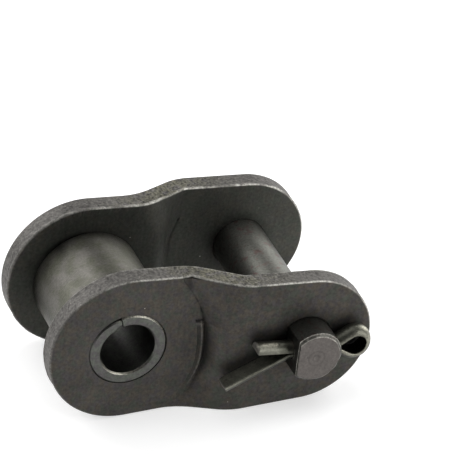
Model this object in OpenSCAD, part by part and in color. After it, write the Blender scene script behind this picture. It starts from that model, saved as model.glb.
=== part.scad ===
// Offset link of a single-strand roller chain: two cranked plates, a curled bush with its roller
// at the narrow end, and a flatted pin locked by a cotter pin at the wide end.
// Origin at the middle of the bush bore, X towards the pin, Y along the pin axis, Z up, millimetres.

/* [Link] */
// Distance from the bush axis to the pin axis
pitch = 25.4; // [25:0.1:28]
// Clear width between the plates at the bush end
inner_w = 15.5; // [13:0.1:20]
// Gap left on each side for the narrow end of the next link
link_gap = 0.5; // [0.3:0.05:0.9]

/* [Plates] */
// Thickness of each plate
plate_t = 3; // [2.5:0.1:3.5]
// Width of the plate round the bush
bush_lobe_d = 23.1; // [21:0.1:23.5]
// Width of the plate round the pin
pin_lobe_d = 20.3; // [18:0.1:21.5]

/* [Crank] */
// Distance from the bush axis to the crease on the outside of a plate
outer_crease_reach = 11.5; // [10.9:0.1:11.9]
// Radius of the crease on the outside, which bows towards the pin
outer_crease_r = 18.5; // [16:0.5:30]
// Distance from the pin axis to the crease on the inside of a plate
inner_crease_reach = 11.75; // [11.65:0.05:12]
// Radius of the crease on the inside, which bows towards the bush
inner_crease_r = 27; // [20:1:60]
// How far the bends of the inside lie behind those of the outside
bend_lag = 0.65; // [0.4:0.05:0.9]
// Length of face that each round bend takes up on either side of its corner
bend_run = 2; // [1:0.1:2.5]

/* [Bush] */
// Outside diameter of the bush
bush_d = 11.4; // [10.6:0.1:12]
// How far the bush stands out of each plate
bush_proud = 0.1; // [0.05:0.05:0.4]
// Chamfer at both ends of the bush, inside and outside
bush_chamfer = 0.25; // [0.1:0.05:0.4]
// Width of the seam where the rolled strip meets
seam_w = 0.12; // [0.08:0.02:0.3]
// Direction of the seam, from X towards Z
seam_angle = 106; // [0:1:359]

/* [Roller] */
// Outside diameter of the roller
roller_d = 15.88; // [14.5:0.02:17]
// Running gap between the bush and the roller, all round
roller_gap = 0.08; // [0.03:0.01:0.1]
// Gap between each end of the roller and the plate beside it
roller_end_gap = 0.2; // [0.1:0.05:0.4]
// Chamfer on the outer edges of the roller
roller_chamfer = 0.5; // [0.2:0.1:0.9]

/* [Pin] */
// Diameter of the pin
pin_d = 7.94; // [7:0.02:8.4]
// Running gap between a pin and a bush bore, across the diameter
pin_play = 0.1; // [0.06:0.02:0.2]
// Distance from the pin axis to the flat that keeps it from turning
pin_flat = 2.8; // [2.3:0.1:3.2]
// How far the pin stands out on the cotter side
pin_front = 4.4; // [3.6:0.1:5.5]
// How far the pin stands out on the far side
pin_rear = 1.6; // [1:0.1:2.5]
// Chamfer at both ends of the pin
pin_chamfer = 0.5; // [0.2:0.05:0.8]

/* [Cotter pin] */
// Diameter of the two half-round strands together
cotter_d = 2.6; // [2:0.1:2.8]
// Slit between the two strands
cotter_slit = 0.1; // [0.06:0.02:0.2]
// Gap between the cotter pin and the plate
cotter_gap = 0.45; // [0.3:0.05:0.6]
// Radius inside the eye
eye_r = 1.35; // [1.1:0.05:1.8]
// Half the angle at which the strands part into the eye
eye_spread = 32; // [25:1:40]
// Radius of the flat side in each bend of a strand
strand_bend_r = 1.8; // [1.6:0.1:2.4]
// Length of the upper leg past its bend
upper_leg_l = 5.2; // [3:0.1:8]
// Angle by which the upper leg is spread
upper_leg_angle = 3; // [1:1:20]
// Length of the lower leg past its bend
lower_leg_l = 10; // [4:0.1:12]
// Angle by which the lower leg is spread
lower_leg_angle = 26; // [10:1:45]

/* [Fits] */
// Gap across the diameter where the bush and the pin are pressed into the plates
press_gap = 0.02; // [0.01:0.01:0.04]
// Gap all round the pin in the flatted hole of the front plate
flatted_hole_gap = 0.05; // [0.03:0.01:0.1]
// Gap all round the cotter pin in its hole
cotter_hole_gap = 0.1; // [0.05:0.05:0.2]

/* [Hidden] */
$fn = 96;
// Sideways step of the crank
crank = plate_t + link_gap;
// Distance from the middle plane to the outside of a plate at its bush end and at its pin end
bush_face = inner_w / 2 + plate_t;
pin_face = bush_face + crank;
bush_lobe_r = bush_lobe_d / 2;
pin_lobe_r = pin_lobe_d / 2;
// Amount by which a cutting shape passes the faces that it cuts
cut = 1;
// The slab that is bent reaches past the outline by this much
slab_x0 = -bush_lobe_r - cut;
slab_x1 = pitch + pin_lobe_r + cut;
slab_z = max(bush_lobe_r, pin_lobe_r) + cut;
// Steps across the plate, and steps round a bend
slab_steps = 16;
bend_steps = 6;
bush_bore_d = pin_d + pin_play;
bush_l = 2 * (bush_face + bush_proud);
roller_bore_d = bush_d + 2 * roller_gap;
roller_l = inner_w - 2 * roller_end_gap;
// Distance along the pin from the middle plane to the cotter pin
cotter_y = pin_face + cotter_gap + cotter_d / 2;
wire_r = cotter_d / 2;
cotter_hole_d = cotter_d + cotter_slit + 2 * cotter_hole_gap;
// The strands run straight this far past the pin axis before they part or bend
neck_x = pin_d / 2 + cotter_hole_gap;
leg_x = pin_flat + cotter_hole_gap;
// Straight stretch of a strand between its neck and its eye
eye_side = (eye_r * cos(eye_spread) - strand_bend_r * (1 - cos(eye_spread)) - cotter_slit / 2)
    / sin(eye_spread);
steel_dark = [0.29, 0.28, 0.27];
steel_edge = [0.50, 0.49, 0.47];
steel_satin = [0.47, 0.46, 0.43];
steel_pin = [0.41, 0.38, 0.38];
steel_wire = [0.52, 0.50, 0.44];

// Position of the crease on the outside and on the inside, at height z
function outer_crease(z) = outer_crease_reach - outer_crease_r + sqrt(pow(outer_crease_r, 2) - z * z);
function inner_crease(z) = pitch - inner_crease_reach + inner_crease_r - sqrt(pow(inner_crease_r, 2) - z * z);

// Length along X of the sloping part of the crank, and its slope
function ramp_run(z) = inner_crease(z) - outer_crease(z) - bend_lag;
function ramp_slope(z) = atan2(crank, ramp_run(z));

// Points of a round bend at a corner: way = 1 closes the ramp above, way = -1 opens it below
function round_bend(corner, slope, way) =
    let(r = bend_run / tan(slope / 2))
    let(centre = corner + way * [bend_run, -r])
    [for (i = [0 : bend_steps])
        let(turn = way > 0 ? 90 + slope * (1 - i / bend_steps) : -90 + slope * i / bend_steps)
        centre + r * [cos(turn), sin(turn)]];

// Outside and inside of the bent slab at height z, as X and distance out of the bush-end face
function outside(z) =
    let(x = outer_crease(z))
    concat([[slab_x0, 0], [x, 0]],
        round_bend([x + ramp_run(z), crank], ramp_slope(z), 1),
        [[slab_x1, crank]]);
function inside(z) =
    let(x = outer_crease(z) + bend_lag)
    concat([[slab_x0, -plate_t]],
        round_bend([x, -plate_t], ramp_slope(z), -1),
        [[x + ramp_run(z), crank - plate_t], [slab_x1, crank - plate_t]]);

// Flat slab with the die-pressed crank in it, wider than the plate's outline
module cranked_slab() {
    heights = [for (j = [0 : slab_steps]) slab_z * (2 * j / slab_steps - 1)];
    chain = len(outside(0));
    ring = 2 * chain;
    points = [for (z = heights) each concat(
        [for (p = outside(z)) [p[0], -bush_face - p[1], z]],
        [for (p = inside(z)) [p[0], -bush_face - p[1], z]])];
    // Order of the points round a section: along the outside, then back along the inside
    loop = concat([for (i = [0 : chain - 1]) i], [for (i = [0 : chain - 1]) ring - 1 - i]);
    sides = [for (j = [0 : slab_steps - 1]) for (i = [0 : ring - 1])
        let(a = j * ring + loop[i], b = j * ring + loop[(i + 1) % ring])
        each [[a, a + ring, b], [b, a + ring, b + ring]]];
    top = slab_steps * ring;
    caps = [for (i = [0 : chain - 2])
        let(a = i, b = i + 1, c = i + chain, d = i + 1 + chain)
        each [[a, b, c], [b, d, c], [top + a, top + c, top + b], [top + b, top + c, top + d]]];
    polyhedron(points = points, faces = concat(sides, caps));
}

// Two lobes joined by their straight common tangents
module plate_outline() {
    lean = asin((bush_lobe_r - pin_lobe_r) / pitch);
    out = [sin(lean), cos(lean)];
    down = [sin(lean), -cos(lean)];
    at_pin = [pitch, 0];
    circle(r = bush_lobe_r);
    translate(at_pin) circle(r = pin_lobe_r);
    polygon([bush_lobe_r * down, at_pin + pin_lobe_r * down, at_pin + pin_lobe_r * out, bush_lobe_r * out]);
}

// Blank of the front plate, with the hole for the bush; the pin hole is the caller's
module cranked_plate() {
    difference() {
        intersection() {
            cranked_slab();
            rotate([90, 0, 0]) linear_extrude(height = pin_face + cut) plate_outline();
        }
        rotate([90, 0, 0]) cylinder(d = bush_d + press_gap, h = pin_face + cut);
    }
}

// Pin section with its flat towards the bush, grown by a gap
module flatted_section(gap) {
    r = pin_d / 2 + gap;
    intersection() {
        circle(r = r);
        translate([-pin_flat - gap, -r]) square(2 * r);
    }
}

module front_plate() {
    color(steel_dark)
    difference() {
        cranked_plate();
        translate([pitch, 0, 0]) rotate([90, 0, 0])
            linear_extrude(height = pin_face + cut) flatted_section(flatted_hole_gap);
    }
}

module rear_plate() {
    color(steel_dark)
    difference() {
        mirror([0, 1, 0]) cranked_plate();
        translate([pitch, 0, 0]) rotate([-90, 0, 0]) cylinder(d = pin_d + press_gap, h = pin_face + cut);
    }
}

// Turned tube along Y, with chamfered edges at both ends
module tube(bore_r, outer_r, length, bore_chamfer, outer_chamfer) {
    end = length / 2;
    rotate([90, 0, 0]) rotate_extrude() polygon([
        [bore_r, bore_chamfer - end],
        [bore_r + bore_chamfer, -end],
        [outer_r - outer_chamfer, -end],
        [outer_r, outer_chamfer - end],
        [outer_r, end - outer_chamfer],
        [outer_r - outer_chamfer, end],
        [bore_r + bore_chamfer, end],
        [bore_r, end - bore_chamfer]]);
}

module bush() {
    color(steel_edge)
    difference() {
        tube(bush_bore_d / 2, bush_d / 2, bush_l, bush_chamfer, bush_chamfer);
        rotate([0, -seam_angle, 0]) translate([0, -bush_l / 2 - cut, -seam_w / 2])
            cube([bush_d, bush_l + 2 * cut, seam_w]);
    }
}

module roller() {
    color(steel_satin)
    tube(roller_bore_d / 2, roller_d / 2, roller_l, bush_chamfer, roller_chamfer);
}

// Turned section with its heights towards the cotter side, then the flat up to the plate and the cross hole
module pin() {
    r = pin_d / 2;
    rear_end = pin_face + pin_rear;
    front_end = pin_face + pin_front;
    shoulder = pin_face - plate_t;
    color(steel_pin)
    translate([pitch, 0, 0])
    difference() {
        rotate([90, 0, 0]) rotate_extrude() polygon([
            [0, -rear_end],
            [r - pin_chamfer, -rear_end],
            [r, -rear_end + pin_chamfer],
            [r, front_end - pin_chamfer],
            [r - pin_chamfer, front_end],
            [0, front_end]]);
        translate([-pin_flat - pin_d, -front_end - cut, -pin_d])
            cube([pin_d, front_end + cut - shoulder, 2 * pin_d]);
        translate([0, -cotter_y, 0]) rotate([0, 90, 0])
            cylinder(d = cotter_hole_d, h = pin_d + 2 * cut, center = true);
    }
}

// Section of the wire: the flat side on the X axis, the round side towards Y
module half_round() {
    intersection() {
        circle(r = wire_r);
        translate([-wire_r, 0]) square(2 * wire_r);
    }
}

// Straight wire along X with its flat side on the XY plane
module wire_straight(length) {
    rotate([90, 0, 90]) linear_extrude(height = length) half_round();
}

// Bend with the flat side at radius r, towards the round side or, at a negative angle, the flat side
module wire_bend(r, angle) {
    way = sign(angle);
    translate([0, 0, way * r]) rotate(way * [90, 90, 0]) rotate_extrude(angle = abs(angle))
        translate([r, 0]) rotate(way * 90) half_round();
}

// Wire laid out from step i on, where each step is a straight length, then a bend's radius and angle
module wire(steps, i = 0) {
    length = steps[i][0];
    wire_straight(length);
    if (i + 1 < len(steps)) {
        r = steps[i][1];
        angle = steps[i][2];
        translate([length, 0, 0]) {
            wire_bend(r, angle);
            translate([r * sin(abs(angle)), 0, sign(angle) * r * (1 - cos(angle))])
                rotate([0, -angle, 0]) wire(steps, i + 1);
        }
    }
}

// The wire starts at the tip of the upper leg, goes round the eye and ends at the tip of the lower leg
module cotter_pin() {
    a = upper_leg_angle;
    tip_x = -leg_x - strand_bend_r * sin(a) - upper_leg_l * cos(a);
    tip_z = cotter_slit / 2 + strand_bend_r * (1 - cos(a)) + upper_leg_l * sin(a);
    color(steel_wire)
    translate([pitch + tip_x, -cotter_y, tip_z]) rotate([0, a, 0]) wire([
        [upper_leg_l, strand_bend_r, a],
        [leg_x + neck_x, strand_bend_r, eye_spread],
        [eye_side, eye_r, -180 - 2 * eye_spread],
        [eye_side, strand_bend_r, eye_spread],
        [neck_x + leg_x, strand_bend_r, lower_leg_angle],
        [lower_leg_l]]);
}

front_plate();
rear_plate();
bush();
roller();
pin();
cotter_pin();
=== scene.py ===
import math

import bmesh
import bpy
import numpy as np
from mathutils import Matrix, Vector


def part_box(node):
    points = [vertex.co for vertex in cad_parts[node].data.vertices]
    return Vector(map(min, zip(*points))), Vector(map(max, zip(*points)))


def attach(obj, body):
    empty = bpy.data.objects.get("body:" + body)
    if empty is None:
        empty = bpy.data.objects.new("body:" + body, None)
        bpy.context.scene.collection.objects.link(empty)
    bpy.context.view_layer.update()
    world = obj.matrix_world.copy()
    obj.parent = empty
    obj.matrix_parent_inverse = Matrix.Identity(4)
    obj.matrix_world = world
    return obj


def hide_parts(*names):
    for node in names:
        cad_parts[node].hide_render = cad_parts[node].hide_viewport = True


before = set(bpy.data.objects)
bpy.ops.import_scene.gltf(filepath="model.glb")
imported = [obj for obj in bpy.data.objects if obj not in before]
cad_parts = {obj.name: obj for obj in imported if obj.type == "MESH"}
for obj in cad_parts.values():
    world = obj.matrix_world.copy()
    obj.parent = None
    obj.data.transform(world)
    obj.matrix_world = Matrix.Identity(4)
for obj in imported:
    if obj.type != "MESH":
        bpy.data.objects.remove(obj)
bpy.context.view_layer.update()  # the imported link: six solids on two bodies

mm = 0.001

# Sizes that the frame gives: corners of the solids at rest
plateLow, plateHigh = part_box("front_plate")
pinLow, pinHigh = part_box("pin")
cotterLow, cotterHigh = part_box("cotter_pin")
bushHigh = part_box("bush")[1]
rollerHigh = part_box("roller")[1]
pitch = (pinLow.x + pinHigh.x) / 2
bushLobe = -plateLow.x
pinLobe = plateHigh.x - pitch
pinFace = -plateLow.y
innerFace = -plateHigh.y
lean = math.asin((bushLobe - pinLobe) / pitch)  # slope of the plates' straight edges
print("frame read: pitch %.2f mm" % (pitch / mm))


# Mesh helpers

# Quads of a grid of rows x cols points, closed round in either direction if asked
def gridQuads(rows, cols, closeRows, closeCols):
    i = np.arange(rows if closeRows else rows - 1)[:, None]
    j = np.arange(cols if closeCols else cols - 1)[None, :]
    below, beside = (i + 1) % rows, (j + 1) % cols
    corners = [i * cols + j, i * cols + beside, below * cols + beside, below * cols + j]
    return np.stack(np.broadcast_arrays(*corners), axis=-1).reshape(-1, 4)


# New object in the scene
def newObject(name, data):
    made = bpy.data.objects.new(name, data)
    bpy.context.scene.collection.objects.link(made)
    return made


# Points of a grid from its three coordinates
def gridPoints(x, y, z):
    return np.stack(np.broadcast_arrays(x, y, z), axis=-1)


# One grid of a piece: points (rows, cols, 3) and the marks that its finish reads
def sheet(points, closeRows=False, closeCols=False, **marks):
    return {"points": points, "closeRows": closeRows, "closeCols": closeCols, "marks": marks}


# Puts the sheets into one mesh, welds their shared edges and turns the faces outwards
def weldSheets(name, sheets, sharpAngle):
    points, quads, start = [], [], 0
    for part in sheets:
        rows, cols = part["points"].shape[:2]
        points.append(part["points"].reshape(-1, 3))
        quads.append(start + gridQuads(rows, cols, part["closeRows"], part["closeCols"]))
        start += rows * cols
    points, quads = np.concatenate(points), np.concatenate(quads)
    mesh = bpy.data.meshes.new(name)
    mesh.vertices.add(len(points))
    mesh.vertices.foreach_set("co", points.astype(np.float32).ravel())
    mesh.loops.add(quads.size)
    mesh.loops.foreach_set("vertex_index", quads.astype(np.int32).ravel())
    mesh.polygons.add(len(quads))
    mesh.polygons.foreach_set("loop_start", np.arange(0, quads.size, 4, dtype=np.int32))
    mesh.update(calc_edges=True)
    for mark in sorted({key for part in sheets for key in part["marks"]}):
        values = [np.broadcast_to(part["marks"].get(mark, 0.0), part["points"].shape[:2]).ravel()
                  for part in sheets]
        layer = mesh.attributes.new(mark, "FLOAT", "POINT")
        layer.data.foreach_set("value", np.concatenate(values).astype(np.float32))
    work = bmesh.new()
    work.from_mesh(mesh)
    bmesh.ops.remove_doubles(work, verts=work.verts, dist=0.002 * mm)
    bmesh.ops.recalc_face_normals(work, faces=work.faces)
    work.to_mesh(mesh)
    work.free()
    mesh.polygons.foreach_set("use_smooth", np.ones(len(mesh.polygons), dtype=bool))
    mesh.set_sharp_from_angle(angle=math.radians(sharpAngle))
    return newObject(name, mesh)


# Joins a finished piece to the frame
def seat(piece, node, body, finish):
    piece.data.materials.append(finish)
    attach(piece, body)
    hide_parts(node)
    print("made", piece.name, len(piece.data.polygons), "faces")
    return piece


# Smooth step from 0 at low to 1 at high
def ease(value, low, high):
    part = np.clip((value - low) / (high - low), 0, 1)
    return part * part * (3 - 2 * part)


# Bell curve: 1 at the middle, falling off over the width
def bell(value, middle, width):
    return np.exp(-((value - middle) / width) ** 2)


# 1 between low and high with both sides eased over edge, 0 elsewhere
def window(value, low, high, edge):
    return ease(value, low, low + edge) * (1 - ease(value, high - edge, high))


# Column of values, one for each row of a grid
def column(*parts):
    return np.concatenate(parts)[:, None]


# Smooth noise from 0 to 1: random values on a square lattice, eased between the four corners
def roughNoise(u, v, seed):
    table = np.random.default_rng(seed).random((256, 256))
    i, j = np.floor(u).astype(int), np.floor(v).astype(int)
    fu, fv = ease(u - i, 0, 1), ease(v - j, 0, 1)
    low = table[i % 256, j % 256] * (1 - fu) + table[(i + 1) % 256, j % 256] * fu
    high = table[i % 256, (j + 1) % 256] * (1 - fu) + table[(i + 1) % 256, (j + 1) % 256] * fu
    return low * (1 - fv) + high * fv


# Revolves a profile of (radius, y) rows round the axis along Y at axisX
def revolve(radius, y, turn, axisX):
    return gridPoints(axisX + radius * np.cos(turn), y, radius * np.sin(turn))


# Closed path round the corners of a section, each corner rounded off, with the wear-and-sheen mark of every
# row.
# A corner is (radius, y, rounding, wear-and-sheen mark of the side that follows it)
def roundedLoop(corners, steps):
    spots = np.array([corner[:2] for corner in corners], float)
    before = np.roll(spots, 1, axis=0) - spots
    after = np.roll(spots, -1, axis=0) - spots
    before /= np.linalg.norm(before, axis=1)[:, None]
    after /= np.linalg.norm(after, axis=1)[:, None]
    half = np.arccos(np.clip((before * after).sum(1), -1, 1)) / 2
    rounding = np.array([corner[2] for corner in corners], float)
    inward = before + after
    inward /= np.linalg.norm(inward, axis=1)[:, None]
    centre = spots + inward * (rounding / np.sin(half))[:, None]
    first = spots + before * (rounding / np.tan(half))[:, None] - centre
    last = spots + after * (rounding / np.tan(half))[:, None] - centre
    share = np.linspace(0, 1, steps)[None, :, None]
    swing = (math.pi - 2 * half)[:, None, None]
    arc = np.sin((1 - share) * swing) * first[:, None] + np.sin(share * swing) * last[:, None]
    wear = np.array([corner[3] for corner in corners], float)[:, None]
    wear = np.roll(wear, 1, axis=0) * (1 - share[0, :, 0]) + wear * share[0, :, 0]
    return (centre[:, None] + arc / np.sin(swing)).reshape(-1, 2), wear.reshape(-1, 1)


# Corners of a tube's section for that path; inner and outer give the cut, rounding and wear of those edges
def tubeCorners(bore, outside, end, inner, outer):
    (inCut, inRound, inWear), (outCut, outRound, outWear) = inner, outer
    return [
        (bore + inCut, -end, inRound, 0), (outside - outCut, -end, outRound, outWear),
        (outside, outCut - end, outRound, 0), (outside, end - outCut, outRound, outWear),
        (outside - outCut, end, outRound, 0), (bore + inCut, end, inRound, inWear),
        (bore, end - inCut, inRound, 0), (bore, inCut - end, inRound, inWear)]


# The same path with its long steps split into short ones
def splitRows(loop, wear, longest):
    after = np.roll(loop, -1, axis=0)
    count = np.ceil(np.linalg.norm(after - loop, axis=1) / longest).astype(int)
    row = np.repeat(np.arange(len(loop)), count)
    share = ((np.arange(len(row)) - np.repeat(np.cumsum(count) - count, count)) / count[row])[:, None]
    wornAndLit = wear[row] * (1 - share) + np.roll(wear, -1, axis=0)[row] * share
    return loop[row] * (1 - share) + after[row] * share, wornAndLit


# Finishes

# Wraps an output socket, so that values are added and multiplied as in a formula
class Flow:
    def __init__(self, socket):
        self.socket = socket
        self.tree = socket.id_data

    def node(self, kind, settings, values, out=0):
        made = self.tree.nodes.new(kind)
        for key, value in settings.items():
            setattr(made, key, value)
        for key, value in values.items():
            if isinstance(value, Flow):
                self.tree.links.new(value.socket, made.inputs[key])
            else:
                made.inputs[key].default_value = value
        return Flow(made.outputs[out])

    def sum(self, operation, first, second):
        return self.node("ShaderNodeMath", {"operation": operation}, {0: first, 1: second})

    def __add__(self, other):
        return self.sum("ADD", self, other)

    def __radd__(self, other):
        return self.sum("ADD", other, self)

    def __sub__(self, other):
        return self.sum("SUBTRACT", self, other)

    def __rsub__(self, other):
        return self.sum("SUBTRACT", other, self)

    def __mul__(self, other):
        return self.sum("MULTIPLY", self, other)

    def __rmul__(self, other):
        return self.sum("MULTIPLY", other, self)


# New material with its shader; gives the material, the shader and the object coordinates
def blankFinish(name, metallic, specular):
    finish = bpy.data.materials.new(name)
    finish.use_nodes = True
    tree = finish.node_tree
    shader = tree.nodes["Principled BSDF"]
    shader.inputs["Metallic"].default_value = metallic
    shader.inputs["Specular IOR Level"].default_value = specular
    place = Flow(tree.nodes.new("ShaderNodeTexCoord").outputs["Object"])
    return finish, shader, place


# Noise with features of the given size in metres, drawn out along each axis by stretch
def mottle(place, size, stretch=(1, 1, 1), detail=3.0, offset=0.0):
    scale = tuple(1 / (size * part) for part in stretch)
    values = {"Vector": place, "Scale": scale, "Location": (offset,) * 3}
    moved = place.node("ShaderNodeMapping", {}, values)
    values = {"Vector": moved, "Scale": 1.0, "Detail": detail, "Roughness": 0.55}
    return place.node("ShaderNodeTexNoise", {}, values)


# Value stretched so that low becomes 0 and high becomes 1
def spread(value, low, high):
    values = {"Value": value, "From Min": low, "From Max": high}
    return value.node("ShaderNodeMapRange", {"interpolation_type": "SMOOTHSTEP"}, values)


def blendColour(share, first, second):
    settings = {"data_type": "RGBA", "blend_type": "MIX"}
    return share.node("ShaderNodeMix", settings, {0: share, 6: first, 7: second}, out=2)


# Colour darkened or lightened by a value
def shadeColour(colour, value):
    settings = {"data_type": "RGBA", "blend_type": "MULTIPLY"}
    return value.node("ShaderNodeMix", settings, {0: 1.0, 6: colour, 7: value}, out=2)


def markOf(place, name):
    return place.node("ShaderNodeAttribute", {"attribute_name": name}, {}, out=2)


def relief(place, height, depth, strength):
    return place.node("ShaderNodeBump", {}, {"Height": height, "Distance": depth, "Strength": strength})


# Links the three inputs that vary over a piece
def connect(shader, colour, rough, normal):
    for flow, name in ((colour, "Base Color"), (rough, "Roughness"), (normal, "Normal")):
        flow.tree.links.new(flow.socket, shader.inputs[name])


# Sparse specks: the cores of scattered cells, of which only some are kept
def specks(place, cell, size, kept):
    settings = {"voronoi_dimensions": "3D", "feature": "F1"}
    values = {"Vector": place, "Scale": 1 / cell}
    spot = place.node("ShaderNodeTexVoronoi", settings, values, out=0)
    pick = place.node("ShaderNodeTexVoronoi", settings, values, out=1)
    chance = place.node("ShaderNodeSeparateColor", {}, {0: pick})
    return (1 - spread(spot, 0.4 * size / cell, size / cell)) * spread(chance, 1 - kept, 1.02 - kept)


plateLook = {
    "brown": (0.056, 0.049, 0.040, 1),
    "green": (0.044, 0.047, 0.039, 1),
    "plum": (0.048, 0.044, 0.044, 1),
    "olive": (0.126, 0.121, 0.092, 1),  # punched edge
    "ash": (0.117, 0.111, 0.104, 1),
    # bright tone of worn edges, also used for painted highlights along them
    "burr": (0.48, 0.47, 0.43, 1),
    "dust": (0.40, 0.38, 0.34, 1),
}


# Plate steel: dark mottled faces, lighter speckled edges, painted shade where marked dark, bright corners
# (worn, and partly painted highlight) and a few dust specks
def plateFinish():
    finish, shader, place = blankFinish("plateSteel", 0.75, 0.4)
    rim, wear, dark = markOf(place, "rim"), markOf(place, "wear"), markOf(place, "dark")
    stain = markOf(place, "stain")
    grain = mottle(place, 0.45 * mm, detail=3.0)
    fine = mottle(place, 0.22 * mm, detail=2.0, offset=6.4)
    tint = mottle(place, 1.1 * mm, detail=2.0, offset=3.1)
    patch = mottle(place, 1.5 * mm, detail=2.0, offset=5.2)
    cloud = mottle(place, 4.5 * mm, detail=3.0, offset=7.7)
    streak = mottle(place, 0.35 * mm, (1, 1, 9), detail=2.0, offset=1.3)
    face = blendColour(spread(tint, 0.38, 0.62), plateLook["brown"], plateLook["plum"])
    face = blendColour(spread(patch, 0.48, 0.64) + 0.6 * stain, face, plateLook["green"])
    face = shadeColour(face, -0.20 + 1.1 * grain + 0.5 * fine + 0.6 * cloud + 0.3 * streak)
    cut = blendColour(stain * spread(tint, 0.34, 0.58), plateLook["ash"], plateLook["olive"])
    pit = mottle(place, 0.36 * mm, detail=2.0, offset=8.8)
    speckle = 0.9 * grain + (1.8 + 2.2 * stain) * (pit - 0.5) + 0.6 * fine + 0.8 * cloud
    cut = shadeColour(cut, speckle - 0.15)
    cut = shadeColour(cut, 1 - 0.6 * specks(place, 0.8 * mm, 0.20 * mm, 0.35))
    cut = blendColour(specks(place, 0.95 * mm, 0.17 * mm, 0.3) * 0.4, cut, plateLook["dust"])
    colour = shadeColour(blendColour(rim, face, cut), 1 - 0.78 * dark)
    # painted highlight along the edges, together with their real wear
    colour = blendColour(wear * (0.35 + 0.65 * spread(grain + fine, 0.75, 1.2)), colour, plateLook["burr"])
    colour = blendColour(specks(place, 2.2 * mm, 0.12 * mm, 0.4) * 0.7, colour, plateLook["dust"])
    rough = 0.46 + 0.20 * fine - 0.16 * wear + 0.05 * rim
    height = fine * (1 - 0.4 * wear) + 0.5 * streak + rim * fine
    connect(shader, colour, rough, relief(place, height, 0.03 * mm, 0.45))
    return finish


# Satin steel: two tones in soft blotches, fine lines left by the tool along one direction, another tone on
# end faces, darkening where marked dark (mostly painted shade) and a bright tone on worn edges and painted
# highlights
def satinFinish(name, look):
    finish, shader, place = blankFinish(name, 1.0, 0.5)
    wear, end, dark = markOf(place, "wear"), markOf(place, "end"), markOf(place, "dark")
    blotch = mottle(place, look["blotch"], detail=3.0, offset=2.4)
    grain = mottle(place, 0.30 * mm, detail=3.0, offset=4.8)
    lines = mottle(place, 0.10 * mm, look["lines"], detail=2.0, offset=9.1)
    colour = blendColour(spread(blotch, *look["tones"]), look["first"], look["second"])
    colour = blendColour(end, colour, look["end"])
    texture = (1 - 0.35 * end) * (0.9 * grain + 0.6 * lines - 0.75)
    colour = shadeColour(colour, 1 + texture + 0.5 * end * (blotch - 0.5))
    colour = shadeColour(colour, 1 - look["spots"] * specks(place, 0.9 * mm, 0.16 * mm, 0.5) - dark)
    # painted highlight: the bright tone lies on worn edges and on places painted as lit
    colour = blendColour(wear * (0.45 + 0.55 * spread(grain, 0.40, 0.58)), colour, look["wornAndLit"])
    rough = look["rough"] + 0.10 * blotch + 0.06 * lines + 0.20 * end
    connect(shader, colour, rough, relief(place, lines + 0.4 * grain, look["relief"], 0.5))
    return finish


# Plates

plateSet = {
    "thick": 3.0 * mm,
    "outerReach": 11.5 * mm,  # bush axis to the crease on the outside
    "outerBow": 18.5 * mm,  # radius of that crease
    "outerTurn": 0.8 * mm,  # how far it turns to the pin at the upper edge
    "outerStray": (  # reach, height and width of each bulge
        (0.4 * mm, -4.5 * mm, 3.2 * mm),
        (-0.3 * mm, 6 * mm, 3.5 * mm)),
    "innerReach": 11.75 * mm,  # pin axis to the crease on the inside
    "innerBow": 27.0 * mm,
    "bendLag": 0.65 * mm,  # how far the inside's bends lie behind the outside's
    "bendRun": 2.0 * mm,  # face that a round bend takes up on either side of its corner
    "edgeRound": 0.30 * mm,  # tumbled edges of the outline
    "holeRound": 0.12 * mm,
    "pressGap": 0.01 * mm,  # round the bush, and round the pin in the rear plate
    "valleySoft": 0.3 * mm,  # easing of the inside's crease
    "creaseSoft": 2.2 * mm,  # easing of the outside's crease at its lower end
    "softFrom": 6.0 * mm,  # which starts and is full this far below the middle
    "softTo": 9.7 * mm,
    "pinch": 0.22 * mm,  # edge pushed out where the crease ends
    "pinchWide": 1.0 * mm,
    "tearDeep": 0.06 * mm,  # pits in the broken part of the punched edge
    "pinShadeWide": 1.0 * mm,  # painted shade round the pin, outside and inside
    "pinShade": (0.3, 0.5),
    "insideShade": (0.30, 0.16),  # painted shade on the inside, bush end and pin end
    "paintedShading": (  # painted shade (light where negative) along lines from the pin axis: two ends, width in mm, strength
        ((-3.2, 2.4), (-7.3, 2.2), 1.2, 0.75),  # painted shadow above the upper leg
        ((-4.6, 0.0), (-11.6, -3.0), 1.2, 0.80),  # painted shadow above the lower leg
        ((3.6, 2.0), (6.5, 3.2), 0.9, 0.5),  # painted shadow above the eye
        ((4.0, -1.2), (8.5, -1.5), 0.9, 1.0),  # painted shadow on the plate seen through the eye
        ((-16.4, 1.0), (-17.4, -6.5), 1.7, 0.16),  # painted shade before the crease
        ((-8.0, 5.5), (6.5, 6.5), 3.5, -0.18)),  # painted light along the upper edge
    "burrHigh": 0.04 * mm,  # burr along the edge of the inside
}
plateT = plateSet["thick"]
bushFace = innerFace + plateT
crank = pinFace - bushFace


# Crease of the outside at height z: an arc that bows to the pin and strays a little from its circle
def outerCrease(z):
    bow = plateSet["outerBow"]
    stray = plateSet["outerTurn"] * np.clip(z / bushLobe, 0, 1) ** 8
    for reach, height, width in plateSet["outerStray"]:
        stray = stray + reach * bell(z, height, width)
    return plateSet["outerReach"] - bow + np.sqrt(bow ** 2 - z * z) + stray


# Crease of the inside at height z: an arc that bows to the bush
def innerCrease(z):
    bow = plateSet["innerBow"]
    return pitch - plateSet["innerReach"] + bow - np.sqrt(bow ** 2 - z * z)


# Limits of the crank at height z: start of the inside bend, both creases, end of the outside bend
def crankLines(z):
    over = plateSet["bendRun"] - plateSet["bendLag"]
    return [outerCrease(z) - over, outerCrease(z), innerCrease(z), innerCrease(z) + over]


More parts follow.
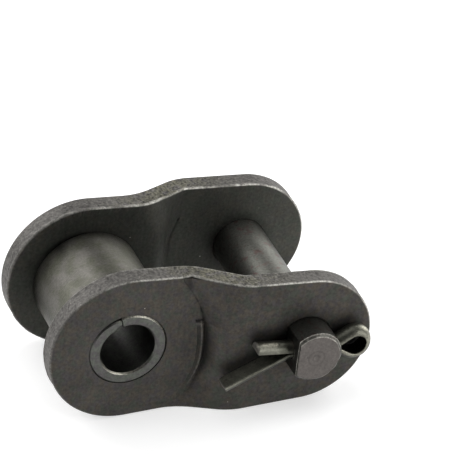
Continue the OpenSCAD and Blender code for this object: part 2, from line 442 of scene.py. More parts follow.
# How far the outside and the inside of the bent plate lie out of the bush-end face at (x, z): flat, crease
# (a parabola where it is soft), ramp, round bend, flat. The inside runs the other way, a thickness behind
def bentPlate(x, z):
    lag, run = plateSet["bendLag"], plateSet["bendRun"]
    begin, end = outerCrease(z), innerCrease(z)
    slope = np.arctan2(crank, end - begin - lag)
    bend = run / np.tan(slope / 2)
    far = end - lag + run - x  # distance before the end of the outside bend
    near = x - (begin + lag - run)  # distance past the start of the inside bend
    cap = crank - bend + np.sqrt(np.maximum(bend ** 2 - far ** 2, 0))
    cup = bend - np.sqrt(np.maximum(bend ** 2 - near ** 2, 0))
    past = x - begin
    soft = 1e-6 + plateSet["creaseSoft"] * ease(-z, plateSet["softFrom"], plateSet["softTo"])
    ramp = np.where(past > soft, past, np.clip(past + soft, 0, None) ** 2 / (4 * soft)) * np.tan(slope)
    outer = np.where(far > bend * np.sin(slope), ramp, np.where(far > 0, cap, crank))
    ramp = (x - begin - lag) * np.tan(slope)
    inner = np.where(near > bend * np.sin(slope), ramp, np.where(near > 0, cup, 0))
    valley = plateSet["valleySoft"]
    share = np.clip(0.5 + 0.5 * (crank - inner) / valley, 0, 1)
    return outer, inner * share + crank * (1 - share) - valley * share * (1 - share) - plateT


dieSet = {
    "top": 3.3 * mm,  # height where the print of the die ends
    "topSoft": 0.15 * mm,
    "edge": 0.08 * mm,  # slope at the sides of the strip and the tick
    "lineWide": 0.15 * mm,  # crease above the print
    "lineDeep": 0.07 * mm,
    "dotLong": 0.4 * mm,  # it is worn away in dots
    "leave": 1.3 * mm,  # the line leaves the crease towards its upper end
    "leaveFrom": 4.0 * mm,
    "leaveTo": 10.3 * mm,
    "grooveAt": 0.12 * mm,  # groove of the crease below it, past the crease on the ramp
    "grooveWide": 0.24 * mm,
    "grooveDeep": 0.12 * mm,
    "litBandAt": 0.9 * mm,  # painted light: lighter band on the ramp
    "litBandWide": 0.7 * mm,
    "ridgeAt": 0.42 * mm,  # lip beside the groove
    "ridgeWide": 0.11 * mm,
    "ridgeHigh": 0.05 * mm,
    "stripFrom": 0.55 * mm,  # shallow strip beside the lip
    "stripTo": 1.2 * mm,
    "stripDeep": 0.05 * mm,
    "tickLong": 1.3 * mm,
    "tickWide": 0.26 * mm,
    "tickDeep": 0.14 * mm,
    "fadeFrom": -4.0 * mm,  # the groove fades out between these heights
    "fadeTo": -9.0 * mm,
    "thinFrom": 6.0 * mm,  # the line thins out between these heights
    "thinTo": 9.0 * mm,
    "smudgeAt": 0.6 * mm,  # dark smudge beside it near the upper edge
    "smudgeWide": 0.5 * mm,
    "smudgeFrom": 8.2 * mm,
    "smudgeTo": 9.5 * mm,
}


# Print of the die along the outer crease: how deep and how dark it is, and its raised lips. A fine line above
# that leaves the crease upwards, a groove with a lip, a shallow strip and a ramp painted lighter below, and a
# tick across the top of the strip; the dark of groove, strip and tick is partly painted shade in those
# hollows.
# flat and ramp are the distances from the crease on either side
def diePrint(flat, ramp, z):
    d = dieSet
    above = ease(z, d["top"] - d["topSoft"], d["top"])
    below = (1 - above) * (0.12 + 0.88 * ease(z, d["fadeTo"], d["fadeFrom"]))
    leave = d["leave"] * np.clip((z - d["leaveFrom"]) / (d["leaveTo"] - d["leaveFrom"]), 0, 1) ** 2
    dotted = 0.5 + 0.5 * ease(roughNoise(z / d["dotLong"], 0 * z, 67), 0.3, 0.6)
    line = bell(ramp - flat, -leave, d["lineWide"]) * above
    line = line * dotted * (1 - 0.4 * ease(z, d["thinFrom"], d["thinTo"]))
    groove = bell(ramp - flat, d["grooveAt"], d["grooveWide"]) * below
    level = (ramp <= 0) * below
    strip = level * window(flat, d["stripFrom"], d["stripTo"], d["edge"])
    across = (ramp <= 0) * ease(flat, 0, d["edge"])
    across = across * (1 - ease(flat, d["tickLong"] - 2 * d["edge"], d["tickLong"]))
    tick = across * bell(z, d["top"], d["tickWide"])
    lips = level * bell(flat, d["ridgeAt"], d["ridgeWide"])
    lips = lips + across * bell(z, d["top"] - 2.2 * d["tickWide"], 0.6 * d["tickWide"])
    deep = d["lineDeep"] * line + d["grooveDeep"] * groove + d["stripDeep"] * strip
    deep = deep + d["tickDeep"] * tick - d["ridgeHigh"] * lips
    smudge = bell(flat - ramp, d["smudgeAt"], d["smudgeWide"]) * ease(z, d["smudgeFrom"], d["smudgeTo"])
    # painted light on the ramp beside the crease
    litBand = bell(ramp, d["litBandAt"], d["litBandWide"]) * below
    dark = 0.9 * line + groove + 1.2 * tick + 0.7 * smudge - 0.55 * litBand + 0.48 * strip
    return deep, np.clip(dark, -1, 1), np.clip(lips, 0, 1)


insideSet = {
    "top": 5.5 * mm,  # height where the line ends
    "near": 0.5 * mm,  # its distance from the crease, below and at the top
    "far": 1.0 * mm,
    "leaveFrom": 2.0 * mm,
    "wide": 0.20 * mm,
    "deep": 0.06 * mm,
    "fadeFrom": 3.5 * mm,  # the line fades out between these heights
    "fadeTo": -4.0 * mm,
    "tickFrom": 0.85 * mm,  # tick at its top, from the crease
    "tickTo": 1.3 * mm,
    "edge": 0.1 * mm,
}


# Print of the die on the inside: a line that leaves the crease upwards, with a tick at its top
def insidePrint(flat, z):
    d = insideSet
    way = d["near"] + (d["far"] - d["near"]) * ease(z, d["leaveFrom"], d["top"])
    line = bell(flat, way, d["wide"])
    line = line * (1 - ease(z, d["top"] - d["wide"], d["top"])) * ease(z, d["fadeTo"], d["fadeFrom"])
    tick = window(flat, d["tickFrom"], d["tickTo"], d["edge"]) * bell(z, d["top"], 1.5 * d["wide"])
    return d["deep"] * (line + tick), np.clip(0.55 * line + 0.8 * tick, 0, 1)


# Height at which a crank line meets the upper (way 1) or lower (way -1) edge of the outline drawn in by inset
def meetEdge(which, way, inset):
    z = way * bushLobe
    for _ in range(30):
        z = way * (bushLobe - inset - crankLines(z)[which] * math.sin(lean)) / math.cos(lean)
    return z


# One end of the plate as rays from its hole to its outline: the crank line, the straight edges and the lobe.
# Worked out with the hole at the origin and the crank towards +X
def lobeRays(lobe, tilt, line, inset, holeAt, steps):
    touch = (lobe - inset) * np.array([math.sin(tilt), math.cos(tilt)])
    share = np.linspace(0, 1, steps["edge"])[1:, None]
    upper = line[-1] * (1 - share) + touch * share
    turn = np.linspace(math.pi / 2 - tilt, 1.5 * math.pi + tilt, steps["lobe"])[1:]
    arc = (lobe - inset) * np.stack([np.cos(turn), np.sin(turn)], axis=-1)
    lower = (line[0] * (1 - share) + touch * [1, -1] * share)[::-1][1:]
    bound = np.concatenate([line, upper, arc, lower])
    across = bound / np.linalg.norm(bound, axis=1)[:, None]
    flat = np.array([math.sin(tilt), math.cos(tilt)])
    rimOut = np.concatenate([
        [flat], np.broadcast_to(flat, upper.shape), arc / (lobe - inset),
        np.broadcast_to(flat * [1, -1], lower.shape)])
    hole = across * holeAt(np.arctan2(bound[:, 1], bound[:, 0]))[:, None]
    rows = (np.linspace(0, 1, steps["rows"]) ** 1.5)[:, None, None]
    rays = hole * (1 - rows) + bound * rows
    reach = np.linalg.norm(rays - hole, axis=-1)
    ends = {"rays": rays, "reach": reach, "rim": bound[len(line) - 1:], "rimOut": rimOut}
    return ends | {"hole": hole, "across": across}


# Rounded edge from face to face, row by row: how far it is drawn in, how deep below the nearer face it lies,
# its share of the way across the wall, and the marks of rim, wear with painted sheen, and burr
def edgeProfile(rounding, arcRows, wallRows):
    a = np.linspace(0, math.pi / 2, arcRows)
    back = a[::-1]
    wall = np.linspace(0, 1, wallRows + 2)[1:-1]
    none = np.zeros(wallRows)
    rows = [
        [rounding * (1 - np.sin(a)), none, rounding * (1 - np.sin(back))],
        [rounding * (1 - np.cos(a)), none, rounding * (1 - np.cos(back))],
        [0 * a, wall, 0 * a + 1],
        [np.sin(a) ** 2, none + 1, np.sin(back) ** 2],
        [np.sin(2 * a) ** 2, none, np.sin(2 * a) ** 2],
        [0 * a, bell(wall, 1, 0.05), np.sin(back) ** 4]]
    return [column(*row) for row in rows]


# Puts points (x, z) at a distance out of the bush-end face on one side of the link: -1 is the front, 1 the
# rear, where the same plate is turned half round about X
def onSide(side, flat, out):
    return gridPoints(flat[..., 0], side * (bushFace + out), -side * flat[..., 1])


# Wall along a closed path of points drawn in by the rounding, from the outside to the inside of the plate:
# smooth where the punch sheared it, pitted where it broke, with a burr along the inside
def punchedEdge(side, path, out, rounding):
    drawn, deep, share, rim, wear, burr = edgeProfile(rounding, 7, 19)
    step = np.linalg.norm(np.roll(path, -1, axis=0) - path, axis=1)
    along = np.concatenate([[0], np.cumsum(step)[:-1]])[None, :]
    coarse = roughNoise(along / (0.45 * mm), share * 5.0, 11)
    fine = roughNoise(along / (0.17 * mm), share * 14.0, 23)
    ripple = roughNoise(along / (1.7 * mm), share * 2.0, 31)
    broken = ease(share, 0.25, 0.6) * (1 - ease(share, 0.93, 1.0))
    pits = broken * (ease(coarse, 0.62, 0.86) + 0.4 * ease(fine, 0.5, 0.9))
    wavy = 0.5 * ease(share, 0, 0.1) * (1 - ease(share, 0.9, 1)) * ripple
    raised = burr * ease(roughNoise(along / (1.1 * mm), 0 * along, 53), 0.35, 0.7)
    drawn = drawn + plateSet["tearDeep"] * (pits + wavy) - plateSet["burrHigh"] * raised
    pinch = bell(path[:, 0], outerCrease(path[:, 1]), plateSet["pinchWide"])
    pinch = pinch * (out[:, 1] > 0.5) * (side < 0)  # the rear plate stands on that edge
    drawn = drawn - plateSet["pinch"] * pinch * (1 - ease(share, 0, 0.5))
    short = roughNoise(along / (0.55 * mm), 0 * along, 47)
    long = roughNoise(along / (2.6 * mm), 0 * along, 59)
    chips = 0.35 + 0.65 * ease(0.4 * short + 0.6 * long, 0.3, 0.6)
    litFromAbove = 0.3 + 0.7 * ease(0.55 * out[:, 0] - side * out[:, 1], 0.15, 0.95)  # painted highlight: strongest on edges that face up, weaker at the bush end
    litFromAbove = litFromAbove * (0.75 + 0.25 * ease(path[:, 0], 0, 0.4 * pitch))
    # bright edge line: wear and burr, brighter at the pinch, scaled by the painted highlight
    wornAndLit = np.clip(wear * (chips + 0.8 * pinch) + 0.4 * raised, 0, 1) * litFromAbove
    stain = bell(path[:, 0], pitch / 2, 0.3 * pitch) + 0 * share
    marks = {"rim": rim, "wear": wornAndLit, "dark": 0.25 * pits, "stain": stain}
    return edgeWall(side, path, out, rounding, (drawn, deep, share), **marks)


# Smooth wall of a hole
def plainEdge(side, path, out, rounding):
    drawn, deep, share, rim = edgeProfile(rounding, 3, 1)[:4]
    return edgeWall(side, path, out, rounding, (drawn, deep, share), dark=0.8 * rim)


# Puts the rows of an edge between the two bent faces
def edgeWall(side, path, out, rounding, rows, **marks):
    drawn, deep, share = rows
    flat = path[None] + out[None] * (rounding - drawn + 0 * path[None, :, 0])[..., None]
    outer, inner = bentPlate(flat[..., 0], flat[..., 1])
    wall = (outer - rounding) * (1 - share) + (inner + rounding) * share
    depth = np.where(share <= 0, outer - deep, np.where(share >= 1, inner + deep, wall))
    return sheet(onSide(side, flat, depth), closeCols=True, **marks)


# Painted shade on the inside at x, between the plates: darkest round the bush, and painted a little lighter
# past the pin
def insideShade(x):
    bush, pin = plateSet["insideShade"]
    bush = bush * ease(x, -0.35 * pitch, -0.05 * pitch) * (1 - ease(x, 0.2 * pitch, 0.45 * pitch))
    return bush + pin * ease(x, 0.6 * pitch, 0.8 * pitch) * (1 - 1.7 * ease(x, pitch, 1.3 * pitch))


# Painted shade along short lines, painted light where a strength is negative: a bell over the distance from
# each line
def lineShading(spots):
    shading = 0
    for start, stop, wide, strength in plateSet["paintedShading"]:
        start, way = np.array(start) * mm, (np.array(stop) - np.array(start)) * mm
        past = spots - start - [pitch, 0]
        share = np.clip(past @ way / (way @ way), 0, 1)
        apart = np.linalg.norm(past - share[..., None] * way, axis=-1)
        shading = shading + strength * bell(apart, 0, wide * mm)
    return shading


# Cranked plate: both faces on the same rays and crank grid, the outline's edge and two hole walls
def crankedPlate(name, side, pinHole, paintedShading):
    edge, holeEdge = plateSet["edgeRound"], plateSet["holeRound"]
    steps = {"crease": 211, "edge": 48, "lobe": 300, "rows": 9, "bands": (29, 31, 25)}
    bushHole = bushHigh.x + plateSet["pressGap"] + holeEdge
    lines = []
    for which in range(4):
        z = np.linspace(meetEdge(which, -1, edge), meetEdge(which, 1, edge), steps["crease"])
        lines.append(np.stack([crankLines(z)[which], z], axis=-1))
    turned = lines[3] * [-1, 1] + [pitch, 0]
    bushEnd = lobeRays(bushLobe, lean, lines[0], edge, lambda turn: bushHole + 0 * turn, steps)
    pinEnd = lobeRays(pinLobe, -lean, turned, edge, lambda turn: pinHole(turn) + holeEdge, steps)
    for key in ("rays", "rim", "hole"):
        pinEnd[key] = pinEnd[key] * [-1, 1] + [pitch, 0]
    for key in ("rimOut", "across"):
        pinEnd[key] = pinEnd[key] * [-1, 1]

    spans = [ease(np.linspace(0, 1, count), 0, 1)[:, None, None] for count in steps["bands"]]
    bands = [lines[k] * (1 - spans[k]) + lines[k + 1] * spans[k] for k in range(3)]
    middle = np.concatenate([bands[0], bands[1][1:], bands[2][1:]])

    sheets = []
    for end, (outside, inside) in ((bushEnd, (0, 0)), (pinEnd, plateSet["pinShade"])):
        outer, inner = bentPlate(end["rays"][..., 0], end["rays"][..., 1])
        # painted shade round the pin hole, and painted shade and light along the listed lines
        pinShade = bell(end["reach"], 0, plateSet["pinShadeWide"])
        shading = np.clip(outside * pinShade + paintedShading * lineShading(end["rays"]), -1, 1)
        sheets.append(sheet(onSide(side, end["rays"], outer), closeCols=True, dark=shading))
        shading = inside * pinShade + insideShade(end["rays"][..., 0])
        sheets.append(sheet(onSide(side, end["rays"], inner), closeCols=True, dark=shading, stain=1.0))
    x, z = middle[..., 0], middle[..., 1]
    outer, inner = bentPlate(x, z)
    inBand = 1 - ease(np.abs(np.linspace(-1, 1, steps["crease"])), 0.985, 1.0)  # no print on the edge
    past = x - outerCrease(z)
    deep, dark, lips = diePrint(np.maximum(-past, 0), np.maximum(past, 0), z)
    points = onSide(side, middle, outer - deep * inBand)
    dark = np.clip(dark * inBand + paintedShading * lineShading(middle), -1, 1)
    # painted highlight along the lip beside the crease
    sheets.append(sheet(points, dark=dark, wear=0.12 * lips * inBand))
    deep, dark = insidePrint(np.maximum(x - innerCrease(z), 0), -z)
    dark = dark * inBand + insideShade(x)
    sheets.append(sheet(onSide(side, middle, inner + deep * inBand), dark=dark, stain=1.0))

    lower, upper = middle[1:-1, 0], middle[1:-1, -1]
    over = np.array([math.sin(lean), math.cos(lean)])
    under = over * [1, -1]
    path = np.concatenate([
        bushEnd["rim"], [bushEnd["rays"][-1, 0]], lower, [pinEnd["rays"][-1, 0]],
        pinEnd["rim"][::-1], upper[::-1]])
    out = np.concatenate([
        bushEnd["rimOut"], np.broadcast_to(under, (len(lower) + 2, 2)),
        pinEnd["rimOut"][::-1], np.broadcast_to(over, upper.shape)])
    sheets.append(punchedEdge(side, path, out, edge))
    for end in (bushEnd, pinEnd):
        sheets.append(plainEdge(side, end["hole"], -end["across"], holeEdge))
    return weldSheets(name, sheets, 34)


pinSet = {
    "flat": 2.8 * mm,  # pin axis to the flat
    "chamfer": 0.36 * mm,
    "corner": 0.12 * mm,  # easing of the chamfer's two edges
    "holeGap": 0.05 * mm,  # flatted hole, all round
    "crossGap": 0.1 * mm,  # cross hole, round the cotter pin
    "crossNear": 0.36 * mm,  # and how much nearer the plate it lies than in the solid
    "ringDeep": 0.018 * mm,  # rings left by facing the ends
    "ringPitch": 0.9 * mm,
    "dimple": 0.35 * mm,  # centre mark
    "dimpleDeep": 0.12 * mm,
    "nick": 0.13 * mm,  # dents in the chamfer of the front end
    "wear": (0, 0.5, 0.8, 0.5, 0.2, 0.2, 0.6, 1, 0.6, 0),  # rows of the chamfer, from the side to the face
    "dented": (0, 0.3, 0.7, 1, 1, 1, 1, 0.8, 0.4, 0),
    "darkRings": ((0.5 * mm, 0.15 * mm), (1.2 * mm, 0.12 * mm)),  # radius and width
    "bushFlank": (100, 148, 215, 255),  # painted shade on the flank towards the bush: degrees where it starts, is full, thins, ends
    "farFlank": (38, 70),  # painted shade on the other side, from 0 degrees: where it thins and ends
}
pinR = pinHigh.z


# Radius of the flatted section at an angle from the flat, grown by gap
def flatted(turn, gap):
    return np.minimum(pinR + gap, (pinSet["flat"] + gap) / np.maximum(np.cos(turn), 1e-6))


plateSteel = plateFinish()
frontPlate = crankedPlate("frontPlate", -1, lambda turn: flatted(turn, pinSet["holeGap"]), 1)
seat(frontPlate, "front_plate", "link", plateSteel)
rearPlate = crankedPlate("rearPlate", 1, lambda turn: pinR + plateSet["pressGap"] + 0 * turn, 0)
seat(rearPlate, "rear_plate", "link", plateSteel)


# Bush

bushSet = {
    "bore": 4.02 * mm,
    "chamfer": 0.25 * mm,
    "seam": math.radians(106),
    "seamWide": 0.12 * mm,
    "nip": 0.5 * mm,  # inner corner lost on one lip of the seam
    "nipTurn": math.radians(24),
    "drop": 0.3 * mm,  # the same lip lies this much inside the circle
    "dropTurn": math.radians(34),
}
bushLook = {
    "first": (0.092, 0.098, 0.085, 1),
    "second": (0.084, 0.079, 0.080, 1),
    "end": (0.1, 0.1, 0.1, 1),
    "wornAndLit": (0.27, 0.26, 0.22, 1),
    "blotch": 0.9 * mm,
    "tones": (0.36, 0.64),
    "lines": (6, 1, 6),
    "rough": 0.30,
    "spots": 0.0,
    "relief": 0.014 * mm,
}


# Rolled strip: a chamfered section carried round the axis from one lip of the seam to the other
def curledBush():
    bore, outside, end, cut = bushSet["bore"], bushHigh.x, bushHigh.y, bushSet["chamfer"]
    corner = (cut, 0.3 * cut, 1)
    loop, wear = roundedLoop(tubeCorners(bore, outside, end, corner, corner), 5)
    gap = bushSet["seamWide"] / (2 * bore)
    turn = bushSet["seam"] + np.linspace(gap, 2 * math.pi - gap, 300)
    past = turn - bushSet["seam"]
    nip = bushSet["nip"] * (1 - ease(past, gap, bushSet["nipTurn"])) ** 1.5
    drop = bushSet["drop"] * (1 - ease(past, gap, bushSet["dropTurn"]))
    wall = np.clip((outside - loop[:, :1]) / (outside - bore), 0, 1)
    radius = loop[:, :1] + nip * wall - drop * (1 - wall)
    body = revolve(radius, loop[:, 1:], turn[None, :], 0.0)
    # painted highlights: the outer chamfer's wear shows only towards the upper right, the bore's towards the
    # lower left
    above, below = np.cos(turn - math.radians(60)), np.cos(turn + math.radians(105))
    litChamfers = np.where(loop[:, :1] > (bore + outside) / 2, ease(above, 0.4, 0.9), ease(below, 0.3, 0.9))
    sheets = [sheet(body, closeRows=True, wear=wear * litChamfers)]
    for lip in (body[:, 0], body[:, -1]):
        sheets.append(sheet(np.stack([lip, np.broadcast_to(lip.mean(axis=0), lip.shape)]), closeCols=True))
    return weldSheets("bush", sheets, 40)


seat(curledBush(), "bush", "link", satinFinish("bushSteel", bushLook))


# Roller

rollerSet = {
    "bore": 5.78 * mm,
    "boreChamfer": 0.25 * mm,
    "chamfer": 0.5 * mm,
    "rounding": 0.45 * mm,
    "boreRounding": 0.1 * mm,
    "endShadeWide": 1.3 * mm,  # painted shade near both ends, beside the plates
    "shadeStripes": ((129, 13, 0.33), (187, 20, 0.48)),  # painted shade in stripes along it: angle and width in degrees, strength
}
rollerLook = {
    "first": (0.155, 0.148, 0.134, 1),
    "second": (0.124, 0.124, 0.099, 1),
    "end": (0.118, 0.118, 0.110, 1),
    "wornAndLit": (0.173, 0.166, 0.150, 1),
    "blotch": 2.2 * mm,
    "tones": (0.36, 0.64),
    "lines": (9, 1, 9),
    "rough": 0.34,
    "spots": 0.0,
    "relief": 0.08 * mm,
}


# Turned ring: a section with eased corners revolved round the bush
def turnedRoller():
    bore, outside, end = rollerSet["bore"], rollerHigh.x, rollerHigh.y
    inner = (rollerSet["boreChamfer"], rollerSet["boreRounding"], 0)
    outer = (rollerSet["chamfer"], rollerSet["rounding"], 0.3)
    loop, wear = roundedLoop(tubeCorners(bore, outside, end, inner, outer), 6)
    loop, wear = splitRows(loop, wear, 0.4 * mm)
    turn = np.linspace(0, 2 * math.pi, 320, endpoint=False)[None, :]
    body = revolve(loop[:, :1], loop[:, 1:], turn, 0.0)
    # painted shade near the ends and in two stripes, which turn with the roller
    paintedShade = 0.5 * bell(np.abs(loop[:, 1:]), end, rollerSet["endShadeWide"])
    blots = 0.5 + roughNoise(turn * 5.0, loop[:, 1:] / (3.0 * mm), 83)
    for at, wide, strength in rollerSet["shadeStripes"]:
        paintedShade = paintedShade + strength * blots * bell(turn, math.radians(at), math.radians(wide))
    return weldSheets("roller", [sheet(body, closeRows=True, closeCols=True, wear=wear, dark=paintedShade)], 40)


seat(turnedRoller(), "roller", "roller", satinFinish("rollerSteel", rollerLook))


# Pin

pinLook = {
    "first": (0.170, 0.170, 0.152, 1),
    "second": (0.158, 0.117, 0.108, 1),
    "end": (0.139, 0.127, 0.119, 1),
    "wornAndLit": (0.36, 0.345, 0.31, 1),
    "blotch": 1.0 * mm,
    "tones": (0.52, 0.70),
    "lines": (5, 2, 5),
    "rough": 0.40,
    "spots": 0.25,
    "relief": 0.02 * mm,
}


# Curve round a corner of a section, from one point to the next, drawn towards the corner between them
def easedCorner(first, corner, last, steps):
    t = np.linspace(0, 1, steps)[:, None]
    return (1 - t) ** 2 * np.array(first) + 2 * t * (1 - t) * np.array(corner) + t ** 2 * np.array(last)


# Flatted pin: rings along its axis from the middle of the rear face, round up to the front plate and flatted
# from there, to the middle of the front face. The faces are turned, with shallow rings and a centre mark, and
# the chamfer in front is dented
def flattedPin():
    rear, front, shoulder = pinHigh.y, pinLow.y, -(pinFace - plateT)
    cut, soft = pinSet["chamfer"], pinSet["corner"]
    slant = 0.7 * soft
    side = easedCorner((0, cut + soft), (0, cut), (slant, cut - slant), 5)
    brow = easedCorner((cut - slant, slant), (cut, 0), (cut + soft, 0), 5)
    drawn = np.concatenate([side, brow])  # inset and distance from the end, from the side to the face
    shrink = np.linspace(1, 0, 45)[1:]
    plain = 0 * shrink
    inset = np.concatenate([drawn[:, 0], plain + cut + soft])
    along = np.concatenate([drawn[:, 1], plain])
    size = np.concatenate([np.ones(10), shrink])
    ends = np.concatenate([np.zeros(5), np.linspace(0, 1, 5), plain + 1])
    wornAndLit = np.concatenate([pinSet["wear"], plain])
    dented = np.concatenate([pinSet["dented"], plain])

    barrel = np.linspace(rear - cut - 2 * soft, shoulder, 40)
    stub = np.linspace(shoulder, front + cut + 2 * soft, 12)
    none = np.zeros(len(barrel) + len(stub))
    inset = column(inset[::-1], none, inset)
    size = column(size[::-1], none + 1, size)
    cuts = column(0 * along, 0 * barrel, 0 * stub + 1, 0 * along + 1)  # 1 where the pin is flatted
    y = column(rear - along[::-1], barrel, stub, front + along)
    way = column(0 * along - 1, none, 0 * along + 1)
    face = column(ends[::-1], none, ends)
    wornAndLit = column(wornAndLit[::-1], none, wornAndLit)
    turn = np.linspace(0, 2 * math.pi, 320, endpoint=False)[None, :]
    flat = (pinSet["flat"] - np.minimum(inset, soft)) / np.maximum(np.cos(turn - math.pi), 1e-6)
    closed = ease(np.sin(turn / 2), 0, 0.15)  # the dents fade out where the rings close
    dents = pinSet["nick"] * closed * ease(roughNoise(turn * 4.2, 0 * turn, 89), 0.4, 0.9)
    dents = dents * column(0 * dented, none, dented)
    inset = inset + dents
    radius = np.where(cuts > 0, np.minimum(pinR - inset, flat), pinR - inset) * size
    ring = pinSet["ringDeep"] * (0.5 - 0.5 * np.cos(2 * math.pi * radius / pinSet["ringPitch"]))
    mark = pinSet["dimpleDeep"] * np.exp(-(radius / pinSet["dimple"]) ** 4)
    body = revolve(radius, y + way * (face * (ring + mark) + dents), turn, pitch)

    onFlat = (cuts > 0) * (flat < pinR - inset)
    # painted highlight: the chamfer's bright wear is kept mostly on its upper side
    above = 0.2 + 0.8 * ease(np.sin(turn), -0.3, 0.6)
    uneven = 0.4 + 1.1 * closed * roughNoise(turn * 6.0, y / (0.22 * mm), 97)
    wear = np.clip(wornAndLit * np.maximum(above, onFlat) * uneven, 0, 1)
    rings = sum(bell(radius, at, wide) for at, wide in pinSet["darkRings"])
    # painted shade on the pin's flanks between the plates; the flatted stub is darker too, and the face has
    # dark rings
    angle = np.degrees(turn)
    start, full, thin, stop = pinSet["bushFlank"]
    flanks = ease(angle, start, full) * (1 - ease(angle, thin, stop))
    flanks = flanks + 0.9 * (1 - ease(angle, *pinSet["farFlank"]))
    darkening = cuts * (1 - face) * (0.66 + 0.1 * onFlat) + 0.2 * face * rings
    darkening = darkening + 0.5 * (1 - cuts) * (1 - face) * flanks
    return weldSheets("pin", [sheet(body, closeCols=True, wear=wear, end=face, dark=darkening)], 40)


wireR = (cotterHigh.y - cotterLow.y) / 2
cotterY = (cotterLow.y + cotterHigh.y) / 2 + pinSet["crossNear"]
cotterSlit = 0.1 * mm


# Drill along X through the pin where the cotter pin goes
def crossDrill():
    turn = np.linspace(0, 2 * math.pi, 64, endpoint=False)
    x = pitch + 1.5 * pinR * np.array([-1, -1, 1, 1])[:, None]
    radius = np.array([0, 1, 1, 0])[:, None] * (wireR + cotterSlit / 2 + pinSet["crossGap"])
    points = gridPoints(x, cotterY + radius * np.cos(turn), radius * np.sin(turn))
    return weldSheets("drill", [sheet(points, closeCols=True)], 40)


# Cuts the drill out of the pin and keeps the result as the pin's own mesh
def drillPin(piece, drill):
    cut = piece.modifiers.new("drill", "BOOLEAN")
    cut.object = drill
    cut.operation = "DIFFERENCE"
    cut.solver = "EXACT"
    bpy.context.view_layer.update()
    done = bpy.data.meshes.new_from_object(piece.evaluated_get(bpy.context.evaluated_depsgraph_get()))
    piece.modifiers.clear()
    piece.data = done
    bpy.data.objects.remove(drill)
    done.set_sharp_from_angle(angle=math.radians(40))
    return piece


seat(drillPin(flattedPin(), crossDrill()), "pin", "link", satinFinish("pinSteel", pinLook))


# Cotter pin

cotterSet = {
    "corner": 0.14 * mm,  # rounding of the wire's two long edges and its tips
    "bend": 1.8 * mm,  # radius of the flat side in each bend
    "eye": 1.52 * mm,  # radius of the eye, and half the angle at which its strands part
    "eyeSpread": 32,
    "eyeThin": (0.90, 0.70),  # thickness of the wire beside the eye and at its end
    "upperLeg": 5.2 * mm,
    "upperTurn": 5,
    "lowerLeg": 10.0 * mm,
    "lowerTurn": 25,
    "legReach": 2.9 * mm,  # pin axis to the bend of the legs
    "neckReach": 3.6 * mm,  # pin axis to where the strands part into the eye
    "patch": (1.1 * mm, 0.5 * mm),  # painted highlight in patches on the upper leg, with some wear
    "brightAt": 1.4 * mm,  # painted highlight on the eye, from its end
    "brightWide": 0.55 * mm,
    "tipLong": 4.0 * mm,  # painted light on the tip of the lower leg
    "shadeFrom": 4.6 * mm,  # painted shade: the upper leg darkens between these distances from the pin axis
    "shadeTo": 3.0 * mm,
}
cotterLook = {
    "first": (0.170, 0.170, 0.140, 1),
    "second": (0.125, 0.125, 0.102, 1),
    "end": (0.24, 0.23, 0.21, 1),
    "wornAndLit": (0.62, 0.60, 0.49, 1),
    "blotch": 1.1 * mm,
    "tones": (0.36, 0.64),
    "lines": (1, 1, 1),
    "rough": 0.37,
    "spots": 0.7,
    "relief": 0.02 * mm,
}


# Route of the wire's flat side in the x-z plane, with its heading: straights and arcs from the upper tip
# round the eye to the lower tip. A step is a straight length, then a bend's radius and angle, positive
# towards the round side
def wireRoute(spot, heading, steps):
    spots, headings = [], []
    for length, radius, bend in steps:
        count = max(2, int(length / (0.15 * mm)))
        along = np.linspace(0, length, count)[:, None]
        spots.append(spot + along * [math.cos(heading), math.sin(heading)])
        headings.append(np.full(count, heading))
        spot = spots[-1][-1]
        if bend:
            way = math.copysign(1, bend)
            centre = spot + way * radius * np.array([-math.sin(heading), math.cos(heading)])
            turn = heading + np.linspace(0, math.radians(bend), max(4, int(abs(bend) / 4)))[1:]
            spots.append(centre - way * radius * np.stack([-np.sin(turn), np.cos(turn)], axis=-1))
            headings.append(turn)
            spot, heading = spots[-1][-1], turn[-1]
    return np.concatenate(spots), np.concatenate(headings)


# Half-round section, flat side at height 0, with its corners eased
def wireSection():
    corner = cotterSet["corner"]
    rise = math.asin(corner / wireR)
    arc = np.linspace(rise, math.pi - rise, 25)
    foot = np.linspace(0, math.pi / 2, 6)[1:]
    side = wireR * math.cos(rise) - corner
    left = np.stack([-side - corner * np.cos(foot), corner - corner * np.sin(foot)], axis=-1)
    flat = np.stack([np.linspace(-side, side, 9)[1:-1], np.zeros(7)], axis=-1)
    right = left[::-1] * [-1, 1]
    top = wireR * np.stack([np.cos(arc), np.sin(arc)], axis=-1)
    return np.concatenate([top, left, flat, right])


